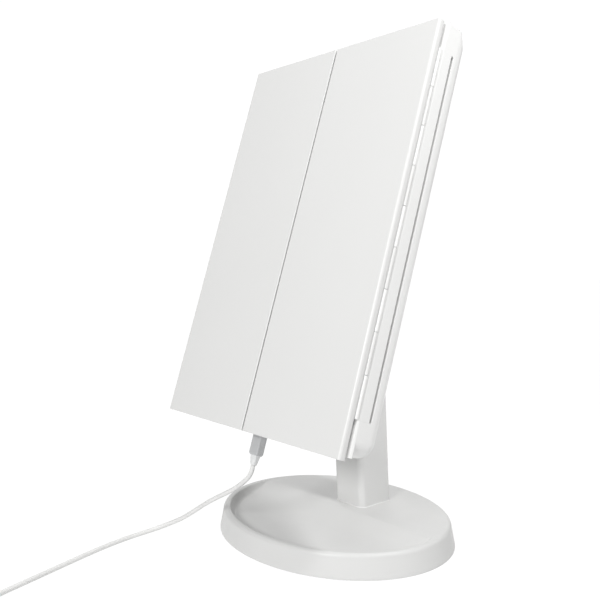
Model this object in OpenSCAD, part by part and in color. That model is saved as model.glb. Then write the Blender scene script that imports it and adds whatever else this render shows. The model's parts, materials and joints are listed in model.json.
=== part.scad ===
// Trifold vanity mirror, folded shut: two flat wings close over a lit centre mirror, and the head
// tilts on a leaning column that stands on an oval base with a tray. A USB cable feeds the head.
// Millimetres, +Z up, origin at the centre of the base's resting face; the mirror faces -Y.

/* [Head] */
// Width across the two closed wings
head_w = 178; // [160:1:200]
// Height of the wings
wing_h = 263; // [240:1:300]
// Thickness of each wing
wing_t = 6.3; // [5.6:0.1:8]
// Radius of the wings' outer front edges
wing_edge_r = 1.6; // [1:0.1:2]
// Gap between the two closed wings
seam = 0.8; // [0.4:0.1:1.5]
// Gap between the closed wings and the frame behind them
wing_gap = 0.6; // [0.4:0.1:1]
// How much higher the case sits than the wings
case_lift = 2; // [0:0.5:4]
// Depth of the head, from the wings' outer faces to the back of the case
head_t = 31; // [30:0.5:38]
// Radius of the back edges of the case at its upper end
case_r = 9; // [5:0.5:10]
// Radius of the back edges of the case at its lower end
case_low_r = 10; // [8:0.5:14]
// Wall of the case
case_wall = 2.4; // [2:0.1:3]
// Side wall of the case, which carries the hinge strips
side_wall = 4.6; // [4.2:0.1:6]
// Thickness of the front frame
frame_t = 3; // [2.6:0.1:4]
// Lean of the head back from upright
tilt = 18; // [5:1:30]

/* [Wing hinges] */
// Inset of the hinge axis from the side of the head
axis_inset = 0.9; // [0.8:0.05:1.1]
// Radius of the knuckles
knuckle_r = 1.35; // [1.25:0.05:1.5]
// Radius of the hinge pins
hinge_pin_r = 0.6; // [0.5:0.05:0.7]
// Number of knuckles on each hinge, odd
knuckles = 9; // [5:2:13]
// Rounding of the wing and frame edges that roll past each other
roll_r = 3; // [2.8:0.1:3]
// Distance from the wing's lower end to the hinge strip
strip_low = 23; // [18:1:30]
// Distance from the hinge strip to the wing's upper end
strip_top = 16; // [12:1:30]
// Thickness of the hinge strip
strip_t = 2.1; // [1.8:0.1:2.4]
// Width of the hinge strip, from the front of the frame backwards
strip_w = 9.9; // [8:0.1:11]
// Width of the open slot behind the hinge strip
slot_w = 2.1; // [1:0.1:2.4]
// Depth of that slot in the side of the case
slot_depth = 3.8; // [2.5:0.1:4]

/* [Mirrors and lights] */
// Distance from the side of the head to the centre mirror
mirror_side = 23; // [22:0.5:30]
// Thickness of the mirror glass
glass_t = 1.9; // [1.5:0.1:2.2]
// Frame left above and below the centre mirror
mirror_margin = 10; // [8:1:16]
// Width of each light strip
light_w = 9.2; // [7:0.1:9.4]
// Frame between the centre mirror and each light strip
light_gap = 1.4; // [1:0.1:2]
// Thickness of the light diffusers
diffuser_t = 2.2; // [1.8:0.1:2.4]
// Rim of a wing round its glass, at the seam, the top and the bottom
wing_rim = 2.6; // [2:0.1:4]
// Rim of a wing at its hinge side
wing_hinge_rim = 5; // [4.8:0.1:7]
// Floor of a wing's shell
wing_floor = 2.2; // [1.6:0.1:2.4]
// Number of LEDs in each light strip
led_count = 12; // [8:1:16]

/* [Tilt pivot] */
// Height of the tilt axis over the table
pivot_z = 200; // [190:1:215]
// Distance of the tilt axis behind the centre of the base
pivot_y = 9.8; // [6:0.1:14]
// Height of the tilt axis above the middle of the wings
pivot_rise = 7; // [0:0.5:12]
// Distance from the back of the case to the tilt axis
pivot_standoff = 18; // [16:0.5:22]
// Radius of the barrel at the top of the column
barrel_r = 11; // [9:0.5:12]
// Radius of the tilt pin
tilt_pin_r = 3; // [2:0.1:4]
// Thickness of the friction washers
washer_t = 0.7; // [0.5:0.1:1]
// Thickness of each ear of the tilt bracket
ear_t = 5; // [4:0.5:6]
// Thickness of the bracket's plate
bracket_t = 3; // [2.5:0.5:4]
// Width of the bracket's plate
bracket_w = 50; // [48:1:60]
// Height of the bracket's plate
bracket_h = 60; // [52:1:70]

/* [Column] */
// Width of the column
col_w = 28; // [26:0.5:34]
// Depth of the column
col_d = 30.5; // [26:0.5:34]
// Radius of the column's upright edges
col_r = 4.5; // [3.5:0.5:6]
// Lean of the column forwards
col_lean = 3.4; // [0:0.1:5]
// Distance from the upper edge of the tray's rear slope to the front of the column
col_setback = 7.5; // [6:0.5:12]
// Radius of the flare where the column's foot meets the base
flare_r = 4.2; // [3:0.1:4.4]
// Wall of the column
col_wall = 2.5; // [2:0.1:3]
// Height over the table at which the column starts to taper to its barrel
col_taper_z = 112; // [95:1:140]

/* [Base] */
// Width of the oval base
base_w = 178.6; // [170:1:200]
// Depth of the oval base
base_d = 149.2; // [142:1:170]
// Height of the base
base_h = 15.7; // [15:0.1:18]
// How much each side of the base leans in from bottom to top
base_draft = 2.4; // [1:0.1:4]
// Radius of the base's top edge
base_edge_r = 2.8; // [1:0.1:3]
// Wall of the base
base_wall = 2.5; // [2:0.1:3]
// Width of the rim round the tray
rim_w = 5; // [4:0.5:8]
// Depth of the tray
tray_depth = 7; // [5:0.5:7.5]
// Distance of the upper edge of the tray's rear slope behind the centre of the base
tray_back_y = 7; // [4:0.5:10]
// Width of the tray's rear slope, from its upper edge forwards to the level floor
tray_slope = 30; // [20:1:34]
// Width of the tray's wall along the oval, from the rim in to the level floor
tray_wall = 4.5; // [3:0.5:6]
// Rounding of the tray's two rear corners, seen from above
tray_corner_r = 8; // [4:1:12]
// Thickness of the non-slip pad under the base
pad_t = 1; // [0.8:0.1:1.2]
// Thickness of the bottom plate
plate_t = 2; // [1.6:0.1:2.2]
// Thickness of the steel ballast plate
ballast_t = 2.8; // [1.5:0.1:3]

/* [Battery box] */
// Radius of an AAA cell
cell_r = 5.25; // [5:0.05:5.4]
// Length of an AAA cell
cell_l = 44.5; // [44:0.1:46]
// Spacing of the cells
cell_pitch = 10.8; // [10.8:0.1:12]
// Number of cells
cell_count = 4; // [2:1:4]
// Thickness of the battery door
door_t = 1.6; // [1.2:0.1:2]

/* [Cable] */
// Diameter of the USB cable
cable_d = 3; // [2.6:0.1:3.2]
// Width of the plug's moulded body
plug_w = 8.6; // [8:0.1:10]
// Depth of the plug's moulded body
plug_d = 5.8; // [5:0.1:6]
// Length of the plug's moulded body
plug_l = 15.2; // [12:0.2:18]
// Corner radius of the plug's moulded body
plug_corner = 0.7; // [0.4:0.1:1.2]
// Length of the strain relief
relief_l = 6.3; // [4:0.1:12]
// Mean radius of the coil of spare cable
coil_r = 17.5; // [15:0.5:18]
// Turns in each of the coil's two layers
coil_turns = 3.08; // [2.08:0.5:4.08]
// Clear gap between neighbouring turns
coil_gap = 0.5; // [0.45:0.05:0.8]

/* [Hidden] */
$fa = 6;
$fs = 0.4;
eps = 0.01;
fit = 0.1;              // clearance of a piece in its seat
running = 0.05;         // radial clearance of a turning fit
half_w = head_w / 2;
mirror_w = head_w - 2 * mirror_side;
case_h = wing_h;
case_low = case_lift;
case_high = case_lift + case_h;
frame_front = wing_t + wing_gap;
frame_back = frame_front + frame_t;
case_inner_back = head_t - case_wall;
case_inner_x = half_w - side_wall;
axis_x = half_w - axis_inset;
axis_t = wing_t + wing_gap / 2;
relief_r = knuckle_r + 0.25;
strip_bottom = strip_low;
strip_high = wing_h - strip_top;
strip_back = frame_front + strip_w;
strip_inner_x = half_w - strip_t;
knuckle_end = 0.2;      // strip beyond the first and last knuckle
knuckle_gap = 0.15;     // half the gap between neighbouring knuckles
knuckle_pitch = (strip_high - strip_bottom - 2 * knuckle_end) / knuckles;
pivot_v = wing_h / 2 + pivot_rise;
pivot_t = head_t + pivot_standoff;
pivot_pin_end = 1.5;    // pin that stands out of each ear
ear_x0 = col_w / 2 + washer_t + 2 * fit;
ear_x1 = ear_x0 + ear_t;
light_x = mirror_w / 2 + light_gap + light_w / 2;
light_end = 18;         // frame above and below a light strip
board_t = 1.2;
board_front = frame_back + 3.1;
screw_r = 1.3;
screw_hole_r = 1.6;
head_r = 2.8;
head_h = 1.8;
pilot_r = 1.35;
flat_head_h = 0.9;
screw_cover = 1.2;      // plastic left over a screw's blind hole
flare_edge = 0.25;      // thickness of the flare's outer edge
case_screw_x = half_w - 33;
case_screw_v = [20, case_h / 2, case_h - 18];
box_wall = 1.5;
box_half_w = (cell_count - 1) / 2 * cell_pitch + cell_r + 2.6;
box_low = pivot_v + bracket_h / 2 + 6;
box_l = cell_l + 8.5;
cell_t = head_t - door_t - 0.4 - cell_r;
cell_low = box_low + 5;
door_lap = 3;
socket_t = 16;          // USB socket's centre behind the wings' faces
socket_w = 7.6;
socket_h = 2.9;
socket_l = 5.6;
socket_low = case_low + case_wall + fit;
control_w = 60;
control_h = 30;
control_front = socket_t + socket_h / 2;
control_low = case_low + case_wall + 1;
control_posts = [[control_w / 2 - 5, control_low + 18], [control_w / 2 - 5, control_low + control_h - 5]];
post_t = control_front + board_t;
case_tube_t = frame_back + 10.1;
bracket_screw_x = bracket_w / 2 - 6;
bracket_screw_v = [pivot_v - bracket_h / 2 + 6, pivot_v + bracket_h / 2 - 6];
switch_x = 43 - half_w;
switch_v = 42;
switch_travel = 3;
bottom_z = pad_t - 0.6;
tray_z = base_h - tray_depth;
plate_z = pad_t;
col_y = tray_back_y + col_setback;
ballast_z = plate_z + plate_t;
flange_z = ballast_z + 2.2;
flange_t = 2.5;
flange_edge = 4.5;      // flange beyond its screws, along x
flange_back = 6;        // flange behind the column
pad_inset = 5;
plate_screw_x = [base_w / 2 - 19, base_w / 2 - 49];
plate_screw_y = [col_y + 5, -base_d / 2 + 22];
plate_screw_places = [for (i = [0, 1], side = [-1, 1]) [side * plate_screw_x[i], plate_screw_y[i]]];
boss_r = 3.6;
boss_inset = 8;         // from the column's faces to the flange's screws, along y
flange_screw_x = col_w / 2 + 6;
flange_screw_y = [col_y + boss_inset, col_y + col_d];
far = 2 * base_w;       // longer than the stand in any direction

white = "#f4f4f3";
soft_white = "#ebebea";
grey = "#c9cacb";
steel = "#b9bcc0";
glass = "#cfd8dd";
rubber = "#3b3b3c";
board_green = "#2f6b4a";

// ---------- shapes shared by several pieces ----------

// The head is drawn upright: x across, y back from the wings' outer faces, z up from their lower ends
module in_head()
    translate([0, pivot_y, pivot_z]) rotate([-tilt, 0, 0]) translate([0, -pivot_t, -pivot_v]) children();

module both_sides() { children(); mirror([1, 0, 0]) children(); }

function arc(cx, cy, r, a0, a1, n) =
    [for (i = [0:n]) let (a = a0 + (a1 - a0) * i / n) [cx + r * cos(a), cy + r * sin(a)]];

// A box from its low corner to its high corner
module block(a, b) translate(a) cube(b - a);

// A rod along y, from t0 to t1
module rod_t(x, v, r, t0, t1) translate([x, t0, v]) rotate([-90, 0, 0]) cylinder(r = r, h = t1 - t0);

// A rod along x, from x0 to x1, on the tilt axis
module rod_tilt(r, x0, x1) translate([x0, pivot_t, pivot_v]) rotate([0, 90, 0]) cylinder(r = r, h = x1 - x0);

module pan_screw(x, v, t_head, t_tip) {
    rod_t(x, v, head_r, t_head, t_head + head_h);
    rod_t(x, v, screw_r, t_tip, t_head + eps);
}

// ---------- wings ----------

module wing_outline()
    polygon(concat(
        arc(seam / 2 + 0.5, 0.5, 0.5, 180, 270, 4),
        arc(half_w - wing_edge_r, wing_edge_r, wing_edge_r, 270, 360, 6),
        arc(half_w - roll_r, wing_t - roll_r, roll_r, 0, 90, 10),
        arc(seam / 2 + 0.4, wing_t - 0.4, 0.4, 90, 180, 4)));

function knuckle_v(i) = strip_bottom + knuckle_end + i * knuckle_pitch;

// Knuckles whose number has the given parity; grow adds to the radius, stretch to each end
module knuckle_row(parity, r, stretch)
    for (i = [parity : 2 : knuckles - 1])
        translate([axis_x, axis_t, knuckle_v(i) - stretch])
            cylinder(r = r, h = knuckle_pitch + 2 * stretch);

module hinge_bore()
    translate([axis_x, axis_t, strip_bottom - 1])
        cylinder(r = hinge_pin_r + running, h = strip_high - strip_bottom + 2);

module wing_shell(divider) {
    difference() {
        union() {
            linear_extrude(wing_h) wing_outline();
            knuckle_row(1, knuckle_r, -knuckle_gap);
        }
        difference() {
            block([seam / 2 + wing_rim, wing_floor, wing_rim],
                  [half_w - wing_hinge_rim, wing_t + 1, wing_h - wing_rim]);
            if (divider)
                block([0, 0, wing_h / 2 - 1.5], [half_w, wing_t - 0.3, wing_h / 2 + 1.5]);
        }
        knuckle_row(0, relief_r, knuckle_gap);
        hinge_bore();
    }
}

// A pane between two heights, seated just below the wing's rim
module wing_pane(v0, v1)
    block([seam / 2 + wing_rim + fit, wing_t - 0.2 - glass_t, v0 + fit],
          [half_w - wing_hinge_rim - fit, wing_t - 0.2, v1 - fit]);

module wing_pad_sheet(v0, v1)
    block([seam / 2 + wing_rim + 3, wing_floor, v0 + 3],
          [half_w - wing_hinge_rim - 3, wing_t - 0.2 - glass_t, v1 - 3]);

module right_wing_shell() color(white) in_head() wing_shell(false);
module right_wing_mirror() color(glass) in_head() wing_pane(wing_rim, wing_h - wing_rim);
module right_wing_pad() color(grey) in_head() wing_pad_sheet(wing_rim, wing_h - wing_rim);

module left_wing_shell() color(white) in_head() mirror([1, 0, 0]) wing_shell(true);
module left_wing_upper_mirror()
    color(glass) in_head() mirror([1, 0, 0]) wing_pane(wing_h / 2 + 1.5, wing_h - wing_rim);
module left_wing_lower_mirror()
    color(glass) in_head() mirror([1, 0, 0]) wing_pane(wing_rim, wing_h / 2 - 1.5);
module left_wing_pad()
    color(grey) in_head() mirror([1, 0, 0]) {
        wing_pad_sheet(wing_rim, wing_h / 2 - 1.5);
        wing_pad_sheet(wing_h / 2 + 1.5, wing_h - wing_rim);
    }

// ---------- hinge strips and pins ----------

// Outline of the head's side behind the wings, from its rolled front edge back to depth t1
module side_outline(x0, t1)
    intersection() {
        polygon(concat(
            [[half_w - roll_r - 5, frame_front]],
            arc(half_w - roll_r, frame_front + roll_r, roll_r, 270, 360, 10),
            [[half_w, t1], [half_w - roll_r - 5, t1]]));
        translate([x0, 0]) square([half_w, t1]);
    }

module hinge_strip()
    difference() {
        union() {
            translate([0, 0, strip_bottom])
                linear_extrude(strip_high - strip_bottom) side_outline(strip_inner_x, strip_back);
            knuckle_row(0, knuckle_r, -knuckle_gap);
        }
        knuckle_row(1, relief_r, knuckle_gap);
        hinge_bore();
    }

module hinge_pin()
    translate([axis_x, axis_t, strip_bottom + knuckle_end])
        cylinder(r = hinge_pin_r, h = strip_high - strip_bottom - 2 * knuckle_end);

module right_hinge_strip() color(white) in_head() hinge_strip();
module left_hinge_strip() color(white) in_head() mirror([1, 0, 0]) hinge_strip();
module right_hinge_pin() color(steel) in_head() hinge_pin();
module left_hinge_pin() color(steel) in_head() mirror([1, 0, 0]) hinge_pin();

// Seat of one hinge strip, cut out of the frame and the case, with the open slot behind it
module strip_seat() {
    block([strip_inner_x, 0, strip_bottom - fit], [half_w + 1, strip_back + eps, strip_high + fit]);
    block([half_w - slot_depth, strip_back, strip_bottom - fit],
          [half_w + 1, strip_back + slot_w, strip_high + fit]);
    translate([axis_x, axis_t, strip_bottom - fit])
        cylinder(r = relief_r, h = strip_high - strip_bottom + 2 * fit);
}

// ---------- front frame, centre mirror and lights ----------

mirror_low = case_low + mirror_margin;
mirror_high = case_high - mirror_margin;
light_low = case_low + light_end;
light_high = case_high - light_end;

module front_frame()
    color(white) in_head() difference() {
        union() {
            translate([0, 0, case_low]) linear_extrude(case_h)
                union() {
                    side_outline(half_w - roll_r - 4, frame_back);
                    mirror([1, 0]) side_outline(half_w - roll_r - 4, frame_back);
                    translate([-half_w + roll_r + 3, frame_front]) square([head_w - 2 * roll_r - 6, frame_t]);
                }
            // Lip that centres the frame in the case
            difference() {
                block([-case_inner_x + fit, frame_back - eps, case_low + case_wall + fit],
                      [case_inner_x - fit, frame_back + 2.6, case_high - case_wall - fit]);
                block([-case_inner_x + 1.7, 0, case_low + case_wall + 1.7],
                      [case_inner_x - 1.7, head_t, case_high - case_wall - 1.7]);
                // Left out at the case's round lower corners
                both_sides() block([case_inner_x - case_low_r + case_wall, 0, case_low],
                                   [half_w, head_t, case_low + case_low_r]);
            }
            // Rails that hold the light boards
            both_sides() for (side = [-1, 1])
                translate([light_x + side * (light_w / 2 + 0.7) - 0.6, frame_back - eps, light_low])
                    cube([1.2, board_front - frame_back + eps, light_high - light_low]);
            for (side = [-1, 1], v = case_screw_v)
                rod_t(side * case_screw_x, case_low + v, 3.2, frame_back - eps, frame_back + 10);
        }
        // Seat of the centre mirror
        block([-mirror_w / 2 - fit, 0, mirror_low - fit],
              [mirror_w / 2 + fit, frame_front + glass_t, mirror_high + fit]);
        // Windows of the light strips, each with a ledge for its diffuser
        both_sides() {
            block([light_x - light_w / 2 - fit, 0, light_low - fit],
                  [light_x + light_w / 2 + fit, frame_front + diffuser_t, light_high + fit]);
            block([light_x - light_w / 2 + 1, 0, light_low + 1],
                  [light_x + light_w / 2 - 1, frame_back + 1, light_high - 1]);
            strip_seat();
        }
        for (side = [-1, 1], v = case_screw_v)
            rod_t(side * case_screw_x, case_low + v, pilot_r, frame_back + 1, head_t);
    }

module centre_mirror()
    color(glass) in_head()
        block([-mirror_w / 2, frame_front, mirror_low], [mirror_w / 2, frame_front + glass_t, mirror_high]);

module diffuser()
    block([light_x - light_w / 2, frame_front, light_low],
          [light_x + light_w / 2, frame_front + diffuser_t, light_high]);

module light_board()
    block([light_x - light_w / 2 - 1, board_front, light_low],
          [light_x + light_w / 2 + 1, board_front + board_t, light_high]);

module right_diffuser() color(soft_white) in_head() diffuser();
module left_diffuser() color(soft_white) in_head() mirror([1, 0, 0]) diffuser();
module right_light_board() color(board_green) in_head() light_board();
module left_light_board() color(board_green) in_head() mirror([1, 0, 0]) light_board();

led_size = 3;
led_h = 1.2;

module leds()
    color("#f3e9a8") in_head() both_sides() for (i = [0:led_count - 1])
        translate([light_x - led_size / 2, board_front - led_h,
                   light_low + (light_high - light_low) * (i + 0.5) / led_count - led_size / 2])
            cube([led_size, led_h, led_size]);

// Ribbon leads from the control board out to each light board
lead_v = case_low + 30;
lead_w = 6;
module light_leads()
    color(grey) in_head() both_sides() {
        block([control_w / 2 - 4, control_front - 0.6, lead_v],
              [light_x + 2, control_front, lead_v + lead_w]);
        block([light_x - 2, board_front + board_t, lead_v], [light_x + 2, control_front - 0.6, lead_v + lead_w]);
    }

// ---------- rear case ----------

// Closed block from the frame to the back, drawn in by dx and dv, with its back edges rounded: r is
// their radius at the upper end and r_low at the lower end, whose corners are round all the way forward
module case_block(dx, dv, t_back, t_front, r, r_low)
    intersection() {
        hull() {
            block([-half_w + dx, t_front, case_low + dv + r_low],
                  [half_w - dx, t_back - r_low, case_high - dv]);
            both_sides()
                rod_t(half_w - dx - r_low, case_low + dv + r_low, r_low, t_front, t_back - r_low, $fn = 40);
            block([-half_w + dx + r_low, t_front, case_low + dv + r_low],
                  [half_w - dx - r_low, t_back, case_high - dv - r]);
            both_sides() {
                translate([half_w - dx - r, t_back - r, case_high - dv - r]) sphere(r = r, $fn = 32);
                translate([half_w - dx - r_low, t_back - r_low, case_low + dv + r_low])
                    sphere(r = r_low, $fn = 40);
            }
        }
        block([-head_w, t_front, 0], [head_w, head_t + 1, 2 * wing_h]);
    }

module rear_case()
    color(white) in_head() difference() {
        union() {
            difference() {
                case_block(0, 0, head_t, frame_back, case_r, case_low_r);
                case_block(side_wall, case_wall, case_inner_back, frame_back - 1,
                           case_r - case_wall, case_low_r - case_wall);
            }
            for (side = [-1, 1], v = case_screw_v)
                rod_t(side * case_screw_x, case_low + v, 4, case_tube_t, case_inner_back + eps);
            both_sides() for (v = bracket_screw_v)
                rod_t(bracket_screw_x, v, 3.5, head_t - 11, case_inner_back + eps);
            both_sides() for (p = control_posts)
                rod_t(p[0], p[1], 2.6, post_t, case_inner_back + eps);
            // Battery box
            block([-box_half_w - box_wall, cell_t - cell_r - 0.1 - box_wall, box_low - box_wall],
                  [box_half_w + box_wall, case_inner_back + eps, box_low + box_l + box_wall]);
        }
        both_sides() strip_seat();
        block([-box_half_w, cell_t - cell_r - 0.1, box_low], [box_half_w, head_t + 1, box_low + box_l]);
        block([-box_half_w - door_lap, head_t - door_t, box_low - door_lap],
              [box_half_w + door_lap, head_t + 1, box_low + box_l + door_lap]);
        for (side = [-1, 1], v = case_screw_v) {
            rod_t(side * case_screw_x, case_low + v, screw_hole_r, case_tube_t - 1, head_t + 1);
            rod_t(side * case_screw_x, case_low + v, head_r + 0.2, head_t - 2, head_t + 1);
        }
        both_sides() {
            for (v = bracket_screw_v) rod_t(bracket_screw_x, v, pilot_r, head_t - 10, head_t + 1);
            for (p = control_posts) rod_t(p[0], p[1], 0.9, post_t - 1, post_t + 6);
        }
        // Mouth of the USB socket in the case's lower end
        block([-plug_w / 2 - 0.3, socket_t - plug_d / 2 - 0.3, case_low - 1],
              [plug_w / 2 + 0.3, socket_t + plug_d / 2 + 0.3, case_low + case_wall + 1]);
        // Slot and shallow seat of the power switch
        block([switch_x - 3.6, case_inner_back - 1, switch_v - 2.1],
              [switch_x + 3.6 + switch_travel, head_t + 1, switch_v + 2.1]);
        block([switch_x - 6.5, head_t - 1, switch_v - 4.5],
              [switch_x + 6.5 + switch_travel, head_t + 1, switch_v + 4.5]);
    }

module case_screws()
    color(steel) in_head() for (side = [-1, 1], v = case_screw_v)
        pan_screw(side * case_screw_x, case_low + v, head_t - 2, frame_back + 3);

// ---------- electronics ----------

module control_board()
    color(board_green) in_head() difference() {
        union() {
            block([-control_w / 2, control_front, control_low],
                  [control_w / 2, control_front + board_t, control_low + control_h]);
            block([8, control_front - 1.4, control_low + 14], [18, control_front + eps, control_low + 22]);
            block([-20, control_front - 2.4, control_low + 12], [-14, control_front + eps, control_low + 18]);
        }
        both_sides() for (p = control_posts) rod_t(p[0], p[1], 1.1, control_front - 1, post_t + 1);
    }

module touch_pad()
    color(grey) in_head() rod_t(0, mirror_low + 14, 9, frame_back, frame_back + 0.8);

module usb_socket()
    color(steel) in_head() difference() {
        block([-socket_w / 2, socket_t - socket_h / 2, socket_low],
              [socket_w / 2, socket_t + socket_h / 2, socket_low + socket_l]);
        block([-socket_w / 2 + 0.3, socket_t - socket_h / 2 + 0.3, socket_low - 1],
              [socket_w / 2 - 0.3, socket_t + socket_h / 2 - 0.3, socket_low + socket_l - 0.6]);
    }

// Slide switch behind the case's back wall; its knob slides across by switch_travel
switch_plate_t = 1.2;
module switch_body()
    color(rubber) in_head() difference() {
        block([switch_x - 8, case_inner_back - 6, switch_v - 4],
              [switch_x + 8 + switch_travel, case_inner_back - fit, switch_v + 4]);
        block([switch_x - 6.2, case_inner_back - 1.8, switch_v - 3],
              [switch_x + 6.2 + switch_travel, case_inner_back + 1, switch_v + 3]);
    }

module switch_knob()
    color(grey) in_head() union() {
        block([switch_x - 5.8, case_inner_back - 0.2 - switch_plate_t, switch_v - 2.8],
              [switch_x + 5.8, case_inner_back - 0.2, switch_v + 2.8]);
        block([switch_x - 3.3, case_inner_back - 0.2 - eps, switch_v - 1.9],
              [switch_x + 3.3, head_t + 0.2, switch_v + 1.9]);
        for (i = [-1:1])
            translate([switch_x + i * 2.2, head_t + 0.2, switch_v - 1.9])
                cylinder(r = 0.5, h = 3.8);
    }

function cell_x(i) = (i - (cell_count - 1) / 2) * cell_pitch;

module battery_cells()
    color("#8f9a6a") in_head() for (i = [0:cell_count - 1]) {
        up = i % 2;
        translate([cell_x(i), cell_t, cell_low + (up ? 0 : 0.8)]) cylinder(r = cell_r, h = cell_l - 0.8);
        translate([cell_x(i), cell_t, cell_low + (up ? cell_l - 0.8 - eps : 0)]) cylinder(r = 1.9, h = 0.8 + eps);
    }

module battery_contacts()
    color(steel) in_head() for (i = [0:cell_count - 1]) {
        block([cell_x(i) - 4, cell_t - 4, box_low], [cell_x(i) + 4, cell_t + 4, box_low + 0.5]);
        block([cell_x(i) - 4, cell_t - 4, box_low + box_l - 0.5], [cell_x(i) + 4, cell_t + 4, box_low + box_l]);
        translate([cell_x(i), cell_t, box_low + 0.5 - eps])
            cylinder(r1 = 3.4, r2 = 2.4, h = cell_low - box_low - 0.6);
        translate([cell_x(i), cell_t, cell_low + cell_l + 0.1])
            cylinder(r1 = 2.4, r2 = 3.4, h = box_low + box_l - 0.5 + eps - cell_low - cell_l - 0.1);
    }

module battery_door()
    color(white) in_head() union() {
        block([-box_half_w - door_lap + 0.2, head_t - door_t, box_low - door_lap + 0.2],
              [box_half_w + door_lap - 0.2, head_t, box_low + box_l + door_lap - 0.2]);
        for (i = [0:3])
            translate([0, head_t, box_low + box_l - 4 - 2.6 * i])
                rotate([0, 90, 0]) cylinder(r = 0.6, h = 16, center = true);
    }

// ---------- tilt bracket, pin and washers ----------

module tilt_bracket()
    color(white) in_head() difference() {
        union() {
            block([-bracket_w / 2, head_t, pivot_v - bracket_h / 2],
                  [bracket_w / 2, head_t + bracket_t, pivot_v + bracket_h / 2]);
            both_sides() translate([ear_x0, 0, 0]) hull() {
                block([0, head_t + bracket_t - eps, pivot_v - 21], [ear_t, head_t + bracket_t, pivot_v + 21]);
                translate([0, pivot_t, pivot_v]) rotate([0, 90, 0]) cylinder(r = 9, h = ear_t, $fn = 48);
            }
        }
        rod_tilt(tilt_pin_r + running / 2, -ear_x1 - 1, ear_x1 + 1);
        both_sides() for (v = bracket_screw_v)
            rod_t(bracket_screw_x, v, screw_hole_r, head_t - 1, head_t + bracket_t + 1);
    }

module bracket_screws()
    color(steel) in_head() both_sides() for (v = bracket_screw_v)
        pan_screw(bracket_screw_x, v, head_t + bracket_t, head_t - 8);

module tilt_pin()
    color(steel) in_head() union() {
        rod_tilt(tilt_pin_r, -ear_x1 - pivot_pin_end, ear_x1 + pivot_pin_end);
        both_sides() rod_tilt(tilt_pin_r + 1.8, ear_x1 + 0.1, ear_x1 + pivot_pin_end);
    }

module tilt_washers()
    color(steel) in_head() difference() {
        both_sides() rod_tilt(7.5, col_w / 2 + fit, col_w / 2 + fit + washer_t);
        rod_tilt(tilt_pin_r + 0.1, -ear_x1, ear_x1);
    }

// ---------- column ----------

function col_front(z) = col_y - (z - base_h) * tan(col_lean);

// Level slice of the column, drawn in by d
module col_slice(z, d)
    translate([0, col_front(z) + col_d / 2, z]) linear_extrude(eps)
        offset(r = col_r - d) square([col_w - 2 * col_r, col_d - 2 * col_r], center = true);

// The same slice as a ring of points, drawn out by d
function outline(d, z) =
    [for (c = [[1, 1], [-1, 1], [-1, -1], [1, -1]], a = [0:10:90])
        let (t = a + (c == [1, 1] ? 0 : c == [-1, 1] ? 90 : c == [-1, -1] ? 180 : 270))
        [c[0] * (col_w / 2 - col_r) + (col_r + d) * cos(t),
         col_front(z) + col_d / 2 + c[1] * (col_d / 2 - col_r) + (col_r + d) * sin(t), z]];

// Solid through level rings that have the same number of points
module loft(rings) {
    n = len(rings[0]);
    m = len(rings);
    walls = [for (i = [0:m - 2], k = [0:n - 1]) let (a = i * n + k, b = i * n + (k + 1) % n)
        each [[a, b + n, b], [a, a + n, b + n]]];
    polyhedron(points = [for (r = rings) each r],
        faces = concat(walls, [[for (k = [0:n - 1]) k], [for (k = [n - 1:-1:0]) (m - 1) * n + k]]), convexity = 4);
}

module col_barrel(d)
    translate([-col_w / 2 + d, pivot_y, pivot_z]) rotate([0, 90, 0])
        cylinder(r = barrel_r - d, h = col_w - 2 * d, $fn = 48);

module col_body(z0, d) {
    hull() { col_slice(z0, d); col_slice(col_taper_z, d); }
    hull() { col_slice(col_taper_z, d); col_barrel(d); }
}

module column()
    color(white) difference() {
        union() {
            difference() {
                col_body(flange_z, 0);
                difference() {
                    col_body(flange_z - 1, col_wall);
                    translate([0, 0, pivot_z - barrel_r - 2]) cylinder(r = far, h = far);
                }
            }
            // Flare of the foot, which hides the opening in the base
            difference() {
                loft([outline(flare_r, base_h), outline(flare_r, base_h + flare_edge),
                      for (a = [18:18:72])
                          outline(flare_r * (1 - sin(a)), base_h + flare_edge + flare_r * (1 - cos(a))),
                      outline(-1.5, base_h + flare_edge + flare_r)]);
                hull() { col_slice(base_h - 1, 1.2); col_slice(base_h + flare_r + 2, 1.2); }
            }
            // Flange that bolts under the base's raised rear
            difference() {
                block([-flange_screw_x - flange_edge, col_y + 3, flange_z],
                      [flange_screw_x + flange_edge, col_y + col_d + flange_back, flange_z + flange_t]);
                hull() { col_slice(flange_z - 1, col_wall); col_slice(flange_z + flange_t + 1, col_wall); }
            }
        }
        translate([-col_w, pivot_y, pivot_z]) rotate([0, 90, 0])
            cylinder(r = tilt_pin_r + running, h = 2 * col_w);
        both_sides() for (y = flange_screw_y)
            translate([flange_screw_x, y, flange_z - 1]) cylinder(r = screw_hole_r, h = flange_t + 2);
    }

module column_screws()
    color(steel) both_sides() for (y = flange_screw_y)
        translate([flange_screw_x, y, flange_z]) {
            translate([0, 0, -head_h]) cylinder(r = head_r, h = head_h);
            translate([0, 0, -eps]) cylinder(r = screw_r, h = flange_t + 4);
        }

// ---------- base ----------

// Oval slab, drawn in by d from the base's outline at its foot
module oval(d, z, h) translate([0, 0, z]) linear_extrude(h) oval_outline(d);
module oval_outline(d)
    polygon([for (i = [0:95]) [(base_w / 2 - d) * cos(i * 3.75), (base_d / 2 - d) * sin(i * 3.75)]]);

// Level slice of the tray, in front of its rear slope at y_max
module tray_slice(d, z, y_max)
    translate([0, 0, z]) linear_extrude(eps)
        offset(r = tray_corner_r) offset(delta = -tray_corner_r) intersection() {
            oval_outline(base_draft + rim_w + d);
            translate([-base_w, y_max - base_d]) square([2 * base_w, base_d]);
        }

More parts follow.
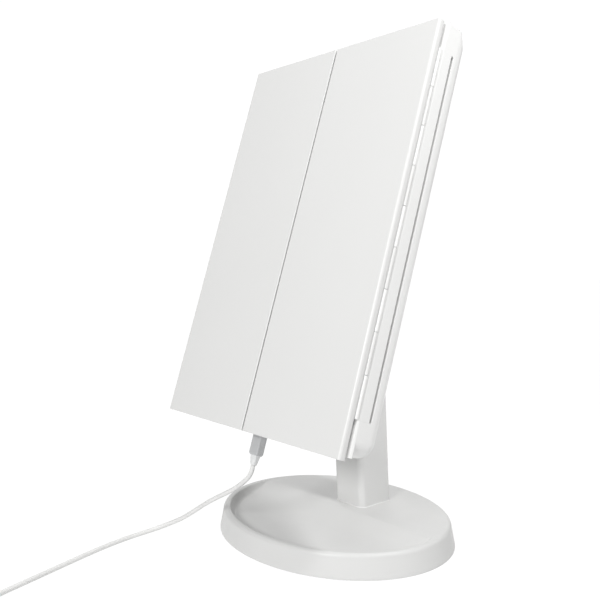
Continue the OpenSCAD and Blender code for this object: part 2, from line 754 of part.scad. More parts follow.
// The walls run down in a hollow curve, steep round the oval and gentle at the back
module tray_space()
    hull() {
        tray_slice(-0.1, base_h + 0.2, tray_back_y + 0.4);
        for (f = [0:0.2:1])
            tray_slice(tray_wall * f, tray_z + tray_depth * pow(1 - f, 2.2), tray_back_y - tray_slope * f);
    }

// Space inside the base's wall, up to height z1
module base_hollow(z1)
    hull() {
        oval(base_wall, bottom_z - 1, eps);
        oval(base_wall + base_draft * z1 / base_h, z1 - eps, eps);
    }

module base_shell()
    color(white) difference() {
        union() {
            difference() {
                hull() {
                    oval(0, bottom_z, eps);
                    oval(base_draft, base_h - base_edge_r, eps);
                    for (a = [22.5:22.5:67.5])
                        oval(base_draft + base_edge_r * (1 - cos(a)), base_h - base_edge_r * (1 - sin(a)), eps);
                    oval(base_draft + base_edge_r, base_h - eps, eps);
                }
                base_hollow(tray_z - base_wall);
                intersection() {
                    base_hollow(base_h - base_wall);
                    translate([-base_w, tray_back_y + base_wall, -1]) cube([2 * base_w, base_d, base_h + 2]);
                }
                tray_space();
            }
            for (side = [-1, 1]) {
                translate([side * plate_screw_x[0], plate_screw_y[0], ballast_z])
                    cylinder(r = boss_r, h = base_h - base_wall - ballast_z + eps);
                translate([side * plate_screw_x[1], plate_screw_y[1], ballast_z])
                    cylinder(r = boss_r, h = tray_z - base_wall - ballast_z + eps);
                for (y = flange_screw_y)
                    translate([side * flange_screw_x, y, flange_z + flange_t])
                        cylinder(r = boss_r, h = base_h - base_wall - flange_z - flange_t + eps);
            }
        }
        // Opening that the column comes up through
        hull() { col_slice(bottom_z, -fit); col_slice(base_h + 1, -fit); }
        for (p = plate_screw_places) translate([p[0], p[1], 0]) cylinder(r = pilot_r, h = tray_z - screw_cover);
        both_sides() for (y = flange_screw_y)
            translate([flange_screw_x, y, 0]) cylinder(r = pilot_r, h = base_h - screw_cover);
    }

module base_plate()
    color(soft_white) difference() {
        oval(base_wall + base_draft * ballast_z / base_h + 0.2, plate_z, plate_t);
        for (p = plate_screw_places) translate([p[0], p[1], 0]) {
            cylinder(r = screw_hole_r, h = ballast_z + 1);
            cylinder(r = head_r + 0.2, h = plate_z + flat_head_h + fit);
        }
    }

module ballast_plate()
    color(steel) difference() {
        oval(base_draft + base_wall + 4, ballast_z, ballast_t);
        for (p = plate_screw_places) translate([p[0], p[1], 0]) cylinder(r = boss_r + 0.6, h = base_h);
        block([-flange_screw_x - flange_edge - 2, col_y - 2, 0],
              [flange_screw_x + flange_edge + 2, col_y + col_d + flange_back + 2, base_h]);
    }

module base_pad() color(rubber) oval(pad_inset, 0, pad_t);

module base_screws()
    color(steel) for (p = plate_screw_places) translate([p[0], p[1], plate_z + fit]) {
        cylinder(r = head_r, h = flat_head_h);
        cylinder(r = screw_r, h = tray_z - screw_cover - 0.4 - plate_z - fit);
    }

// ---------- USB plug in the head ----------

module plug_tip()
    color(steel) in_head()
        block([-socket_w / 2 + 0.5, socket_t - socket_h / 2 + 0.5, case_low - 0.3],
              [socket_w / 2 - 0.5, socket_t + socket_h / 2 - 0.5, socket_low + socket_l - 1]);

plug_top = case_low - 0.3;
plug_low = plug_top - plug_l;
module plug_slice(w, d, v)
    translate([0, socket_t, v]) linear_extrude(eps)
        offset(r = plug_corner) square([w - 2 * plug_corner, d - 2 * plug_corner], center = true);

module plug_body()
    color(white) in_head() hull() {
        plug_slice(plug_w, plug_d, plug_top - eps);
        plug_slice(plug_w, plug_d, plug_low + 1.2);
        plug_slice(plug_w - 1, plug_d - 0.8, plug_low);
    }

// Tapers from a block under the plug's body to a collar round the cable
module plug_relief()
    color(white) in_head() hull() {
        plug_slice(plug_w - 2.6, plug_d - 1.4, plug_low - eps);
        translate([0, socket_t, plug_low - relief_l]) cylinder(d = cable_d + 1.2, h = eps, $fn = 24);
    }

// ---------- cable ----------

// Route of the free cable: out of the plug, down past the left of the base and along the table
run_points = [
    [0, -70.6, 59.5], [0, -71.5, 56.6], [-1, -72.6, 53], [-4, -73.5, 49.5], [-9, -74, 45.5], [-16, -74, 41],
    [-25, -74, 36], [-36, -75, 30], [-48, -76, 23], [-59, -78, 15.5], [-68, -82, 9], [-75, -89, 4.5],
    [-78, -100, 2.2], [-78, -112, 1.6], [-76, -125, 1.6], [-72.5, -140, 1.6], [-68, -155, 1.6],
    [-63, -170, 1.6], [-58, -185, 1.6], [-53, -200, 1.6], [-48, -215, 1.6], [-41.5, -234, 1.6]
];
cable_z = 1.6;

function unit(a) = a / norm(a);
function level(a) = [cos(a), sin(a), 0];
function blend_point(p, i, s) =
    let (n = len(p) - 1, a = p[max(i - 1, 0)], b = p[i], c = p[min(i + 1, n)], d = p[min(i + 2, n)])
    0.5 * (2 * b + (c - a) * s + (2 * a - 5 * b + 4 * c - d) * s * s + (3 * b - a - 3 * c + d) * s * s * s);
// Smooth curve through the points, with m steps in each span
function smooth(p, m) = concat(
    [for (i = [0:len(p) - 2], k = [0:m - 1]) blend_point(p, i, k / m)], [p[len(p) - 1]]);

// Direction of a path at a point; first and last give it at the ends
function tangent(p, i, first, last) =
    i == 0 && first != undef ? first : i == len(p) - 1 && last != undef ? last
    : unit(p[min(i + 1, len(p) - 1)] - p[max(i - 1, 0)]);
function ring(c, t, r, sides) =
    let (side = unit(cross(t, abs(t[2]) > 0.99 ? [0, 1, 0] : [0, 0, 1])), up = cross(side, t))
    [for (k = [0:sides - 1]) let (a = (k + 0.5) * 360 / sides) c + r * (cos(a) * side + sin(a) * up)];

// Round tube along a path; the rings never turn about the path, because it never points straight up
module tube(path, r, sides, first, last) {
    n = len(path);
    points = [for (i = [0:n - 1]) each ring(path[i], tangent(path, i, first, last), r, sides)];
    walls = [for (i = [0:n - 2], k = [0:sides - 1])
        let (a = i * sides + k, b = i * sides + (k + 1) % sides)
        each [[a, b, b + sides], [a, b + sides, a + sides]]];
    caps = [for (k = [1:sides - 2])
        each [[0, k + 1, k], [(n - 1) * sides, (n - 1) * sides + k, (n - 1) * sides + k + 1]]];
    polyhedron(points = points, faces = concat(walls, caps), convexity = 10);
}

run_path = smooth(run_points, 2);
module cable_run()
    color(white) tube(run_path, cable_d / 2, 8, [0, -sin(tilt), -cos(tilt)], level(coil_start - 90));

// Coil of the spare cable: spirals in on the table, climbs a layer where it turns back, and spirals out
coil_pitch = cable_d + coil_gap;
coil_out = coil_r + coil_turns * coil_pitch / 2;
coil_total = 2 * coil_turns;
coil_start = 18;        // direction from the coil's centre to where the cable joins it
run_end = run_points[len(run_points) - 1];
coil_x = run_end[0] - coil_out * cos(coil_start);
coil_y = run_end[1] - coil_out * sin(coil_start);
coil_steps = ceil(coil_total * 24);
function coil_point(u) =
    let (a = coil_start - 360 * u, r = coil_out - coil_pitch * min(u, coil_total - u))
    [coil_x + r * cos(a), coil_y + r * sin(a),
     cable_z + coil_pitch * min(max(2 * (u - coil_turns) + 0.5, 0), 1)];
coil_path = [for (i = [0:coil_steps]) coil_point(coil_total * i / coil_steps)];

// Tail from the top of the coil down to the USB-A plug on the table
coil_end = coil_path[coil_steps];
tail_dir = coil_start - 360 * coil_total - 90;
usb_a_body_w = 15.6;
usb_a_body_h = 8;
usb_a_body_l = 22;
usb_a_shell_w = 12;
usb_a_shell_h = 4.5;
usb_a_shell_l = 12;
usb_a_z = usb_a_body_h / 2 + 0.1;
tail_l = 36;
function tail_point(f) =
    [coil_end[0] + tail_l * f * cos(tail_dir), coil_end[1] + tail_l * f * sin(tail_dir),
     coil_end[2] + (usb_a_z - coil_end[2]) * (3 * f * f - 2 * f * f * f)];
tail_path = [for (i = [1:6]) tail_point(i / 6)];
module cable_coil()
    color(white) tube(concat(coil_path, tail_path), cable_d / 2, 6, level(coil_start - 90), level(tail_dir));

module at_usb_a() translate(tail_path[5]) rotate([0, 0, tail_dir]) children();
module usb_a_body()
    color(white) at_usb_a() hull() {
        translate([0, -usb_a_body_w / 2 + 4, -2]) cube([1, usb_a_body_w - 8, 4]);
        translate([6, -usb_a_body_w / 2, -usb_a_body_h / 2]) cube([usb_a_body_l - 6, usb_a_body_w, usb_a_body_h]);
    }
module usb_a_shell()
    color(steel) at_usb_a() translate([usb_a_body_l, 0, 0]) difference() {
        translate([0, -usb_a_shell_w / 2, -usb_a_shell_h / 2])
            cube([usb_a_shell_l, usb_a_shell_w, usb_a_shell_h]);
        translate([1, -usb_a_shell_w / 2 + 0.4, 0])
            cube([usb_a_shell_l, usb_a_shell_w - 0.8, usb_a_shell_h / 2 - 0.4]);
    }

// Least distance between turns of the coil that aren't neighbours along the cable, less the diameter
echo(coil_self_gap = min([for (i = [0:2:coil_steps], j = [i + 12:1:coil_steps])
    norm(coil_path[i] - coil_path[j])]) - cable_d);
function path_length(p) = [for (i = [0:len(p) - 2]) norm(p[i + 1] - p[i])] * [for (i = [0:len(p) - 2]) 1];
echo(run_length = path_length(run_path), coil_length = path_length(concat(coil_path, tail_path)));

base_shell();
base_plate();
ballast_plate();
base_pad();
base_screws();
column();
column_screws();
tilt_bracket();
bracket_screws();
tilt_pin();
tilt_washers();
rear_case();
front_frame();
case_screws();
centre_mirror();
left_diffuser();
right_diffuser();
left_light_board();
right_light_board();
leds();
light_leads();
control_board();
touch_pad();
usb_socket();
switch_body();
switch_knob();
battery_contacts();
battery_cells();
battery_door();
left_hinge_strip();
right_hinge_strip();
left_hinge_pin();
right_hinge_pin();
left_wing_shell();
left_wing_pad();
left_wing_upper_mirror();
left_wing_lower_mirror();
right_wing_shell();
right_wing_pad();
right_wing_mirror();
plug_tip();
plug_body();
plug_relief();
cable_run();
cable_coil();
usb_a_body();
usb_a_shell();
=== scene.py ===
"""A trifold vanity mirror, folded shut, on an oval tray base. Lengths are in metres unless a comment says."""
import json
import math

import bmesh
import bpy
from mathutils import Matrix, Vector

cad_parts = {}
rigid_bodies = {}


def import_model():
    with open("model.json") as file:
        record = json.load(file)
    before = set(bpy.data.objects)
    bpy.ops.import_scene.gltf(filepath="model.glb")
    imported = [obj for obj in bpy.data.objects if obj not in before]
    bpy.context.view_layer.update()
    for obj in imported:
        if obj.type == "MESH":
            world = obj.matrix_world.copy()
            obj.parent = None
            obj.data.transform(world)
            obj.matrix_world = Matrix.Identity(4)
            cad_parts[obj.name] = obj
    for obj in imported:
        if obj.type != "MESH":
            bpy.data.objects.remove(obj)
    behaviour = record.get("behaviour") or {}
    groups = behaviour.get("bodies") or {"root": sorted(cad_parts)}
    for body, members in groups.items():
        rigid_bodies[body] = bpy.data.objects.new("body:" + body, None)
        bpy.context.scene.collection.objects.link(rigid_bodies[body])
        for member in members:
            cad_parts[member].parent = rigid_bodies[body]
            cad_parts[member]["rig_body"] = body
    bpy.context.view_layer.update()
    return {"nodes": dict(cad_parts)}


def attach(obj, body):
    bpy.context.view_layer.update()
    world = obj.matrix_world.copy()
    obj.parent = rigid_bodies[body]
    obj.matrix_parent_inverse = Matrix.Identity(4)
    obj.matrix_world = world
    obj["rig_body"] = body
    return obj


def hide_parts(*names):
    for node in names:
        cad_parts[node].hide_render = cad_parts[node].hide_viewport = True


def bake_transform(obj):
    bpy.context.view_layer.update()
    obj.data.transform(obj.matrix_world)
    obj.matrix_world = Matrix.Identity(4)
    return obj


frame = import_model()
nodes = frame["nodes"]

MM = 0.001

# ---------------------------------------------------------------- camera and light
CAMERA = (0.37174, -0.34809, 0.19266)
LOOK = (-0.7597, 0.6477, -0.0588)
LENS = 44.06                            # in millimetres, on a sensor 36 mm wide

# Strength of the sky low down, overhead, and overhead at the back
LOW_SKY, HIGH_SKY, BACK_SKY = 0.06, 0.9, 0.92
WHITE_SKY = 1.03                        # strength where the camera looks, just past white
TABLE_GLOW = 0.92
LIGHT_AIM = (0, 0, 0.12)
# Name, place, diameter and power in watts
SOFTBOXES = [("side", (0.44, 0.0145, 0.75), 0.1, 2.7), ("front", (0.55, -1.62, 0.82), 0.4, 20)]


def add(tree, kind, output, settings=None, **inputs):
    """Adds a node and gives its output; inputs are values or sockets, by input name with _ for space."""
    node = tree.nodes.new(kind)
    for key, value in (settings or {}).items():
        setattr(node, key, value)
    for key, value in inputs.items():
        name = key.replace("_", " ")
        socket = next(s for s in node.inputs if s.name == name and s.enabled)
        if isinstance(value, bpy.types.NodeSocket):
            tree.links.new(value, socket)
        else:
            socket.default_value = value
    return node.outputs[output]


def make_camera():
    data = bpy.data.cameras.new("camera")
    data.sensor_width, data.lens = 36, LENS
    data.clip_start, data.clip_end = 0.01, 20
    cam = bpy.data.objects.new("camera", data)
    bpy.context.collection.objects.link(cam)
    cam.location = CAMERA
    cam.rotation_mode = "QUATERNION"
    cam.rotation_quaternion = Vector(LOOK).to_track_quat("-Z", "Y")
    bpy.context.scene.camera = cam


def make_light(name, place, size, power):
    data = bpy.data.lights.new(name, "AREA")
    data.shape, data.size, data.energy = "DISK", size, power
    light = bpy.data.objects.new(name, data)
    bpy.context.collection.objects.link(light)
    light.location = place
    light.rotation_mode = "QUATERNION"
    light.rotation_quaternion = (Vector(LIGHT_AIM) - Vector(place)).to_track_quat("-Z", "Y")


def make_studio():
    """A sky that is bright overhead, dim low down, and white where the camera looks, with two softboxes."""
    world = bpy.data.worlds.new("studio")
    bpy.context.scene.world = world
    world.use_nodes = True
    tree = world.node_tree
    way = tree.nodes.new("ShaderNodeTexCoord").outputs["Generated"]

    def towards(aim):
        """How far a direction of the sky points towards aim, from -1 to 1."""
        dot = tree.nodes.new("ShaderNodeVectorMath")
        dot.operation = "DOT_PRODUCT"
        tree.links.new(way, dot.inputs[0])
        dot.inputs[1].default_value = Vector(aim).normalized()
        return dot.outputs["Value"]

    def blend_sky(value, low, high, first, second):
        """Strength that changes from first to second while value rises from low to high."""
        return add(tree, "ShaderNodeMapRange", "Result", {"interpolation_type": "SMOOTHSTEP"}, Value=value,
                   From_Min=low, From_Max=high, To_Min=first, To_Max=second)

    front_sky = blend_sky(towards((0, 0, 1)), 0.2, 0.9, LOW_SKY, HIGH_SKY)
    back_sky = blend_sky(towards((0, 0, 1)), 0.1, 0.8, LOW_SKY, BACK_SKY)
    all_round = blend_sky(towards((0, -1, 0)), -0.3, 0.5, back_sky, front_sky)
    strength = blend_sky(towards(LOOK), 0.76, 0.86, all_round, WHITE_SKY)
    background = tree.nodes["Background"]
    background.inputs["Color"].default_value = (1, 1, 1, 1)
    tree.links.new(strength, background.inputs["Strength"])
    for name, place, size, power in SOFTBOXES:
        make_light(name, place, size, power)
    bpy.context.scene.view_settings.view_transform = "Standard"


make_camera()
make_studio()


# ---------------------------------------------------------------- materials
# Most of a noise's values lie between these two, so a colour or a gloss runs from end to end between them
NOISE_LOW, NOISE_HIGH = 0.3, 0.7
# Width of a pattern's patches and grains, in millimetres
CLOUD = 71.4                            # one part of a large moulding is a hair lighter than the next
SMALL_CLOUD = 16.7                      # the same on small parts and the cable
GRAIN = 0.385                           # a moulding tool's texture, drawn coarser than the real one
FINE_GRAIN = 0.3125
# Depth of a moulded grain and of lines in metal
GRAIN_DEPTH, LINE_DEPTH = 0.00004, 0.00003
# The plastics keep the shader's IOR of 1.5, because their own lie between 1.49 and 1.54
PLASTIC_SHEEN = 0.3                     # strength of their reflection, matched to the photo's soft highlights


def linear(code):
    """Linear red, green, blue and 1 from a display colour such as 'f0f0ee'."""
    parts = [int(code[i:i + 2], 16) / 255 for i in (0, 2, 4)]
    return tuple(c / 12.92 if c <= 0.04045 else ((c + 0.055) / 1.055) ** 2.4 for c in parts) + (1,)


def new_material(name):
    """A material with one shader, and the place on the object that its patterns follow."""
    mat = bpy.data.materials.new(name)
    mat.use_nodes = True
    tree = mat.node_tree
    tree.nodes.clear()
    out = tree.nodes.new("ShaderNodeOutputMaterial")
    shader = tree.nodes.new("ShaderNodeBsdfPrincipled")
    tree.links.new(shader.outputs[0], out.inputs["Surface"])
    place = tree.nodes.new("ShaderNodeTexCoord").outputs["Object"]
    return mat, tree, shader, place


def cells(width):
    """Noise scale for patches of a width in millimetres."""
    return 1 / (width * MM)


def vary(tree, shader, colour, gloss=None, relief=None):
    """Lets colour and roughness run between two ends with a pattern, and raises the surface with one."""
    pattern, *ends = colour
    shade = add(tree, "ShaderNodeValToRGB", "Color", Fac=pattern)
    for element, place, end in zip(shade.node.color_ramp.elements, (NOISE_LOW, NOISE_HIGH), ends):
        element.position, element.color = place, end
    tree.links.new(shade, shader.inputs["Base Color"])
    if gloss:
        pattern, low, high = gloss
        rough = add(tree, "ShaderNodeMapRange", "Result", Value=pattern, From_Min=NOISE_LOW,
                    From_Max=NOISE_HIGH, To_Min=low, To_Max=high)
        tree.links.new(rough, shader.inputs["Roughness"])
    if relief:
        pattern, strength, depth = relief
        normal = add(tree, "ShaderNodeBump", "Normal", Height=pattern, Strength=strength, Distance=depth)
        tree.links.new(normal, shader.inputs["Normal"])


def moulded(name, dark, light, rough, grain=GRAIN, relief=0.05, cloud=CLOUD):
    """Moulded plastic: a faint cloud in its colour and gloss, and a fine moulded grain."""
    mat, tree, shader, place = new_material(name)
    wide = add(tree, "ShaderNodeTexNoise", "Fac", Vector=place, Scale=cells(cloud), Detail=2)
    patchy = add(tree, "ShaderNodeTexNoise", "Fac", Vector=place, Scale=cells(cloud / 5), Detail=4)
    fine = add(tree, "ShaderNodeTexNoise", "Fac", Vector=place, Scale=cells(grain), Detail=2)
    vary(tree, shader, (wide, linear(dark), linear(light)), (patchy, *rough), (fine, relief, GRAIN_DEPTH))
    shader.inputs["Specular IOR Level"].default_value = PLASTIC_SHEEN
    return mat


def metal(name, colour, rough, grain=1.11, stretch=(1, 1, 1)):
    """Metal with fine lines or grain, darker in its hollows; stretch packs them closer on an axis."""
    mat, tree, shader, place = new_material(name)
    drawn = add(tree, "ShaderNodeMapping", "Vector", Vector=place, Scale=stretch)
    lines = add(tree, "ShaderNodeTexNoise", "Fac", Vector=drawn, Scale=cells(grain), Detail=4)
    dim = tuple(c * 0.82 for c in linear(colour)[:3]) + (1,)
    vary(tree, shader, (lines, dim, linear(colour)), (lines, *rough), (lines, 0.08, LINE_DEPTH))
    shader.inputs["Metallic"].default_value = 1
    return mat


def mirror_glass():
    """Silvered glass: nearly flat reflection with the faintest drift in gloss."""
    mat, tree, shader, place = new_material("silvered_glass")
    tint = add(tree, "ShaderNodeTexNoise", "Fac", Vector=place, Scale=cells(111), Detail=2)
    haze = add(tree, "ShaderNodeTexNoise", "Fac", Vector=place, Scale=cells(33.3), Detail=3)
    vary(tree, shader, (tint, linear("e6eae9"), linear("eef1f0")), (haze, 0.01, 0.035))
    shader.inputs["Metallic"].default_value = 1
    return mat


def diffuser():
    """Opal acrylic: light sinks a little way into it, and its face is finely frosted."""
    mat, tree, shader, place = new_material("opal_acrylic")
    tint = add(tree, "ShaderNodeTexNoise", "Fac", Vector=place, Scale=cells(25), Detail=3)
    frost = add(tree, "ShaderNodeTexNoise", "Fac", Vector=place, Scale=cells(1.11), Detail=3)
    fine = add(tree, "ShaderNodeTexNoise", "Fac", Vector=place, Scale=cells(0.333), Detail=2)
    vary(tree, shader, (tint, linear("f1f1ec"), linear("f8f8f5")), (frost, 0.38, 0.5),
         (fine, 0.12, GRAIN_DEPTH))
    shader.inputs["Subsurface Weight"].default_value = 0.35
    shader.inputs["Subsurface Radius"].default_value = (0.002, 0.002, 0.002)
    return mat


def paper():
    """Pale paper on a light table: it glows, so it stays white and shows no shadow, as in the photo."""
    mat, tree, shader, place = new_material("pale_paper_sweep")
    wide = add(tree, "ShaderNodeTexNoise", "Fac", Vector=place, Scale=cells(333), Detail=2)
    vary(tree, shader, (wide, linear("5a5a5a"), linear("5e5e5e")))
    shader.inputs["Roughness"].default_value = 0.9
    shader.inputs["Specular IOR Level"].default_value = 0.1
    shader.inputs["Emission Color"].default_value = (1, 1, 1, 1)
    shader.inputs["Emission Strength"].default_value = TABLE_GLOW
    return mat


FINISH = {
    # White ABS from a polished tool: soft broad highlights and an almost even white
    "gloss": moulded("gloss_white_abs", "dadad9", "dbdbda", (0.3, 0.33)),
    # The wings: the case's white ABS, painted a shade greyer as painted shade on their faces
    "wing": moulded("gloss_white_abs_of_the_wings_painted_shade", "cfcfce", "d0d0cf", (0.3, 0.33)),
    # The base and the column come from duller tools: wider and weaker highlights
    # The stand's white is painted a shade greyer than the case's: painted shade for the dimmer light on the
    # base
    "stand": moulded("white_abs_of_the_stand_painted_shade", "c6c6c5", "cacac9", (0.36, 0.46)),
    "column": moulded("white_abs_of_the_column", "d8d8d7", "dcdcdb", (0.36, 0.46)),
    "satin": moulded("satin_white_abs", "d8d8d6", "dcdcda", (0.38, 0.5), FINE_GRAIN, 0.12),
    # Soft PVC: a dull skin over the cable and its relief
    "cable": moulded("soft_white_pvc", "d2d2d1", "d7d7d6", (0.4, 0.5), 0.238, 0.1, SMALL_CLOUD),
    # The plug's grey is painted shade: it stands in for the shade under the head on a white plug
    "plug": moulded("pvc_of_the_plug_painted_shade_grey", "adaeaf", "b4b5b6", (0.4, 0.5), FINE_GRAIN, 0.15, SMALL_CLOUD),
    "relief": moulded("pale_grey_pvc_of_the_relief", "d0d1d1", "d6d7d7", (0.4, 0.5), FINE_GRAIN, 0.15,
                      SMALL_CLOUD),
    # Foamed rubber: dark, dull and open-pored
    "rubber": moulded("grey_foam_rubber", "38383a", "434345", (0.82, 0.94), 0.667, 0.6, 33.3),
    # Switch plastics: a near-black body under a grey knob
    "black": moulded("black_nylon", "161617", "1e1e20", (0.4, 0.55), GRAIN, 0.15),
    "grey": moulded("grey_switch_abs", "8b8d90", "96989b", (0.35, 0.48), GRAIN, 0.12),
    # Nickel plate: cool and bright, with a fine grain
    "steel": metal("nickel_plated_steel", "c9ccd0", (0.22, 0.36)),
    # Rolled sheet: dull grey with fine lines from side to side
    "plate": metal("rolled_steel_sheet", "8c8e90", (0.35, 0.55), 3.85, (1, 12, 1)),
    # Circuit boards: uneven green lacquer with yellow light-emitting chips on it
    "circuit": moulded("green_solder_mask", "1f5a3c", "28694a", (0.3, 0.42), 1.43, 0.3, 11.1),
    "led": moulded("led_phosphor", "e8d889", "f2e6a6", (0.3, 0.4), 0.5, 0.1),
    # Foam tape: pale, dull and porous
    "foam": moulded("foam_adhesive_sheet", "c9c9c8", "d6d6d5", (0.85, 0.95), 0.556, 0.5, 25),
    # Flat grey ribbon leads with a fine grain
    "lead": moulded("ribbon_lead", "b4b5b8", "c4c5c8", (0.4, 0.5), 1.11, 0.2, SMALL_CLOUD),
    # The battery cells' metallic sleeves, with nothing printed on them
    "cell": metal("metallic_cell_sleeve", "7d8a66", (0.3, 0.4), 4.17, (1, 1, 6)),
    "mirror": mirror_glass(),
    "opal": diffuser(),
}


# ---------------------------------------------------------------- making pieces
SHARP = 32                              # degrees past which an edge is sharp and gets a rounding
DOUBLE = 2e-6                           # points of a CAD node that lie closer than this are one
FLAT = math.radians(0.6)                # triangles that meet flatter than this are one face


def new_object(name, verts, faces, mat, smooth=True):
    mesh = bpy.data.meshes.new(name)
    mesh.from_pydata([tuple(v) for v in verts], [], faces)
    mesh.update()
    obj = bpy.data.objects.new(name, mesh)
    bpy.context.collection.objects.link(obj)
    mesh.materials.append(mat)
    mesh.polygons.foreach_set("use_smooth", [smooth] * len(mesh.polygons))
    return obj


def skin(count, around):
    """Faces between rings that follow each other: count rings with around points each."""
    faces = []
    for i in range(count - 1):
        for k in range(around):
            a, b = i * around + k, i * around + (k + 1) % around
            faces.append((a, b, b + around, a + around))
    return faces


def finish_edges(obj, width, segments, angle):
    """Rounds an object's sharp edges by width and shades the rest smooth."""
    bevel = obj.modifiers.new("bevel", "BEVEL")
    bevel.width, bevel.segments, bevel.limit_method = width, segments, "ANGLE"
    bevel.angle_limit = math.radians(angle)
    bevel.use_clamp_overlap = True
    weighted = obj.modifiers.new("normals", "WEIGHTED_NORMAL")
    weighted.keep_sharp = True


def dress(node, mat, width, segments=3, angle=SHARP, reshape=None):
    """A finished copy of a CAD node: flat faces whole again, sharp edges rounded, and a material."""
    src = nodes[node]
    mesh = src.data.copy()
    mesh.materials.clear()
    mesh.materials.append(mat)
    bm = bmesh.new()
    bm.from_mesh(mesh)
    bmesh.ops.remove_doubles(bm, verts=bm.verts, dist=DOUBLE)
    bmesh.ops.dissolve_limit(bm, angle_limit=FLAT, use_dissolve_boundaries=False,
                             verts=bm.verts, edges=bm.edges, delimit={"NORMAL"})
    if reshape:
        reshape(bm)
    for face in bm.faces:
        face.smooth = True
        face.material_index = 0
    bm.to_mesh(mesh)
    bm.free()
    obj = bpy.data.objects.new(node + "_finished", mesh)
    bpy.context.collection.objects.link(obj)
    mesh.set_sharp_from_angle(angle=math.radians(angle))
    finish_edges(obj, width, segments, angle)
    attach(obj, src["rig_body"])
    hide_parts(node)
    return obj


# ---------------------------------------------------------------- cable, in millimetres as in its solid
RUN = [
    (0, -70.6, 59.5), (0, -71.5, 56.6), (-1, -72.6, 53), (-4, -73.5, 49.5), (-9, -74, 45.5), (-16, -74, 41),
    (-25, -74, 36), (-36, -75, 30), (-48, -76, 23), (-59, -78, 15.5), (-68, -82, 9), (-75, -89, 4.5),
    (-78, -100, 2.2), (-78, -112, 1.6), (-76, -125, 1.6), (-72.5, -140, 1.6), (-68, -155, 1.6),
    (-63, -170, 1.6), (-58, -185, 1.6), (-53, -200, 1.6), (-48, -215, 1.6), (-41.5, -234, 1.6)]
RUN_STEPS = 5                           # points of the curve between two points of the route
CABLE_D, CABLE_Z = 3.0, 1.6             # thickness, and height of its middle on the table
COIL_R, COIL_TURNS, COIL_PITCH = 17.5, 3.08, 3.5    # mean radius, turns in each of two layers, spacing
COIL_START = 18                         # direction from the coil's centre to where the cable joins it
COIL_STEPS, TAIL_STEPS = 48, 12         # points in a turn of the coil, and in the tail
TAIL_L, USB_A_Z = 36, 4.1               # length of the tail, and height of the USB-A plug's middle
CABLE_SIDES = 14


def smooth_path(points, steps):
    """The same Catmull-Rom curve as the solid's route."""
    p = [Vector(q) for q in points]
    out, last = [], len(p) - 1
    for i in range(last):
        a, b, c, d = p[max(i - 1, 0)], p[i], p[i + 1], p[min(i + 2, last)]
        for k in range(steps):
            s = k / steps
            out.append(0.5 * (2 * b + (c - a) * s + (2 * a - 5 * b + 4 * c - d) * s * s
                              + (3 * b - a - 3 * c + d) * s ** 3))
    return out + [p[last]]


def coil_path(end):
    """Spirals in on the table from the run's end, climbs a layer where it turns back, and spirals out."""
    outer = COIL_R + COIL_TURNS * COIL_PITCH / 2
    total = 2 * COIL_TURNS
    start = math.radians(COIL_START)
    centre_x, centre_y = end.x - outer * math.cos(start), end.y - outer * math.sin(start)
    steps = math.ceil(total * COIL_STEPS)
    coil = []
    for i in range(1, steps + 1):
        turn = total * i / steps
        radius = outer - COIL_PITCH * min(turn, total - turn)
        angle = start - 2 * math.pi * turn
        z = CABLE_Z + COIL_PITCH * min(max(2 * (turn - COIL_TURNS) + 0.5, 0), 1)
        coil.append(Vector((centre_x + radius * math.cos(angle), centre_y + radius * math.sin(angle), z)))
    return coil, start - 2 * math.pi * total - math.pi / 2


def tail_path(end, way):
    """Eases from the top of the coil down to the USB-A plug on the table."""
    tail = []
    for i in range(1, TAIL_STEPS + 1):
        f = i / TAIL_STEPS
        tail.append(Vector((end.x + TAIL_L * f * math.cos(way), end.y + TAIL_L * f * math.sin(way),
                            end.z + (USB_A_Z - end.z) * (3 * f * f - 2 * f ** 3))))
    return tail


def cable_path():
    """The cable's whole route in metres: free run, coil and tail."""
    run = smooth_path(RUN, RUN_STEPS)
    coil, way = coil_path(run[-1])
    return [p * MM for p in run + coil + tail_path(coil[-1], way)]


def tube(name, path, radius, sides, mat):
    """A closed tube along a path."""
    verts = []
    for i, p in enumerate(path):
        along = (path[min(i + 1, len(path) - 1)] - path[max(i - 1, 0)]).normalized()
        side = along.cross(Vector((0, 1, 0)) if abs(along.z) > 0.99 else Vector((0, 0, 1))).normalized()
        up = side.cross(along)
        for k in range(sides):
            a = 2 * math.pi * (k + 0.5) / sides
            verts.append(p + radius * (math.cos(a) * side + math.sin(a) * up))
    faces = skin(len(path), sides)
    faces.append(tuple(reversed(range(sides))))
    faces.append(tuple(range((len(path) - 1) * sides, len(path) * sides)))
    return new_object(name, verts, faces, mat)


cable_points = cable_path()
cable = tube("usb_cable", cable_points, CABLE_D / 2 * MM, CABLE_SIDES, FINISH["cable"])
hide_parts("cable_run", "cable_coil")
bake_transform(cable)
usb_a_body = dress("usb_a_body", FINISH["cable"], 0.0009, 4)
usb_a_shell = dress("usb_a_shell", FINISH["steel"], 0.00015)
dress("plug_body", FINISH["plug"], 0.0004, 3, 50)
dress("plug_tip", FINISH["steel"], 0.0001)
dress("plug_relief", FINISH["relief"], 0.0003)

